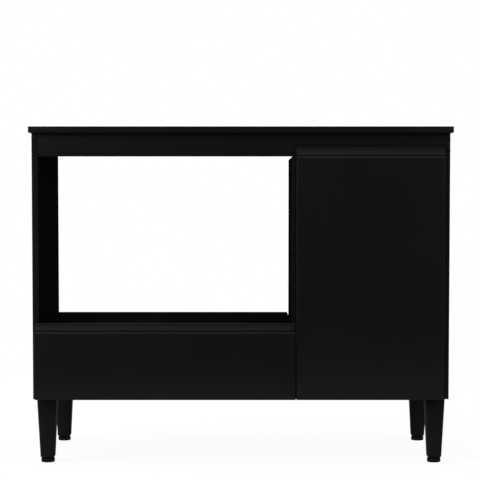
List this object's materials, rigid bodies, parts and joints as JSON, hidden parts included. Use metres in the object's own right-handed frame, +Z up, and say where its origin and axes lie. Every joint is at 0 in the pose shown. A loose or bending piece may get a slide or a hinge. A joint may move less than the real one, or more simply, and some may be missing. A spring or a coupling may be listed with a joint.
{
  "type": "oven cabinet",
  "caption": "Black oven and hob cabinet: worktop with a hob cut-out over an open niche and a wide drawer, tall cupboard door at the right, tapered legs with levelling feet.",
  "frame": {"origin": "on the floor under the middle of the worktop", "axes": "+X to the right seen from the front, +Y to the back, +Z up; the door and drawer face -Y"},
  "size_m": [1.05, 0.48, 0.84],
  "materials": {
    "carcass_board": "satin black laminate on particle board",
    "front_board": "satin black foil on fibreboard",
    "edge_tape": "black edging tape",
    "hardboard": "painted hardboard",
    "handle_profile": "satin black anodised",
    "zinc_steel": "zinc-plated",
    "leg_plastic": "satin moulded plastic",
    "foot_plastic": "moulded plastic",
    "bumper_rubber": "soft grey rubber"
  },
  "bodies": {
    "carcass": {"worktop": "carcass_board", "worktop_edge_bands": "edge_tape", "side_panel_left": "carcass_board", "side_panel_right": "carcass_board", "divider_panel": "carcass_board", "base_panel": "carcass_board", "niche_shelf": "carcass_board", "front_apron": "carcass_board", "rear_rail": "carcass_board", "carcass_edge_bands": "edge_tape", "cupboard_back": "hardboard", "drawer_bay_back": "hardboard", "cupboard_shelf": "carcass_board", "shelf_pins": "zinc_steel", "corner_brackets": "zinc_steel", "bracket_screws": "zinc_steel", "carcass_screws": "zinc_steel", "screw_caps": "leg_plastic", "back_nails": "zinc_steel", "leg_front_left": "leg_plastic", "leg_front_right": "leg_plastic", "leg_rear_left": "leg_plastic", "leg_rear_right": "leg_plastic", "leg_bolts": "zinc_steel", "hinge_plates": "zinc_steel", "hinge_arms": "zinc_steel", "hinge_plate_screws": "zinc_steel", "slide_outer_left": "zinc_steel", "slide_outer_right": "zinc_steel", "slide_screws_carcass": "zinc_steel"},
    "door": {"door_panel": "front_board", "door_handle_profile": "handle_profile", "hinge_cups": "zinc_steel", "hinge_pins": "zinc_steel", "hinge_cup_screws": "zinc_steel", "door_bumpers": "bumper_rubber"},
    "drawer": {"drawer_front": "front_board", "drawer_handle_profile": "handle_profile", "drawer_side_left": "carcass_board", "drawer_side_right": "carcass_board", "drawer_back": "carcass_board", "drawer_bottom": "hardboard", "drawer_cams": "zinc_steel", "drawer_cam_bolts": "zinc_steel", "drawer_screws": "zinc_steel", "drawer_bumpers": "bumper_rubber", "slide_inner_left": "zinc_steel", "slide_inner_right": "zinc_steel", "slide_screws_drawer": "zinc_steel"},
    "slide_middle_left": {"slide_middle_left": "zinc_steel"},
    "slide_middle_right": {"slide_middle_right": "zinc_steel"},
    "ball_cage_outer_left": {"ball_cage_outer_left": "zinc_steel"},
    "ball_cage_outer_right": {"ball_cage_outer_right": "zinc_steel"},
    "ball_cage_inner_left": {"ball_cage_inner_left": "zinc_steel"},
    "ball_cage_inner_right": {"ball_cage_inner_right": "zinc_steel"},
    "foot_front_left": {"levelling_foot_front_left": "foot_plastic"},
    "foot_front_right": {"levelling_foot_front_right": "foot_plastic"},
    "foot_rear_left": {"levelling_foot_rear_left": "foot_plastic"},
    "foot_rear_right": {"levelling_foot_rear_right": "foot_plastic"}
  },
  "joints": [
    {"name": "door_swing", "type": "hinge", "parent": "carcass", "child": "door", "pos_m": [0.4983, -0.231, 0.475], "axis": [0, 0, 1], "range_deg": [0, 95]},
    {"name": "drawer_slide", "type": "slide", "parent": "carcass", "child": "drawer", "axis": [0, -1, 0], "range_m": [0, 0.29]},
    {"name": "slide_middle_left_travel", "type": "slide", "parent": "carcass", "child": "slide_middle_left", "axis": [0, -1, 0], "range_m": [0, 0.145]},
    {"name": "ball_cage_outer_left_travel", "type": "slide", "parent": "carcass", "child": "ball_cage_outer_left", "axis": [0, -1, 0], "range_m": [0, 0.0725]},
    {"name": "ball_cage_inner_left_travel", "type": "slide", "parent": "carcass", "child": "ball_cage_inner_left", "axis": [0, -1, 0], "range_m": [0, 0.2175]},
    {"name": "slide_middle_right_travel", "type": "slide", "parent": "carcass", "child": "slide_middle_right", "axis": [0, -1, 0], "range_m": [0, 0.145]},
    {"name": "ball_cage_outer_right_travel", "type": "slide", "parent": "carcass", "child": "ball_cage_outer_right", "axis": [0, -1, 0], "range_m": [0, 0.0725]},
    {"name": "ball_cage_inner_right_travel", "type": "slide", "parent": "carcass", "child": "ball_cage_inner_right", "axis": [0, -1, 0], "range_m": [0, 0.2175]},
    {"name": "foot_front_left_screw", "type": "slide", "parent": "carcass", "child": "foot_front_left", "axis": [0, 0, -1], "range_m": [0, 0.01]},
    {"name": "foot_front_right_screw", "type": "slide", "parent": "carcass", "child": "foot_front_right", "axis": [0, 0, -1], "range_m": [0, 0.01]},
    {"name": "foot_rear_left_screw", "type": "slide", "parent": "carcass", "child": "foot_rear_left", "axis": [0, 0, -1], "range_m": [0, 0.01]},
    {"name": "foot_rear_right_screw", "type": "slide", "parent": "carcass", "child": "foot_rear_right", "axis": [0, 0, -1], "range_m": [0, 0.01]}
  ],
  "couplings": [
    {"joint": "slide_middle_left_travel", "follows": "drawer_slide", "ratio": 0.5},
    {"joint": "ball_cage_outer_left_travel", "follows": "drawer_slide", "ratio": 0.25},
    {"joint": "ball_cage_inner_left_travel", "follows": "drawer_slide", "ratio": 0.75},
    {"joint": "slide_middle_right_travel", "follows": "drawer_slide", "ratio": 0.5},
    {"joint": "ball_cage_outer_right_travel", "follows": "drawer_slide", "ratio": 0.25},
    {"joint": "ball_cage_inner_right_travel", "follows": "drawer_slide", "ratio": 0.75}
  ]
}
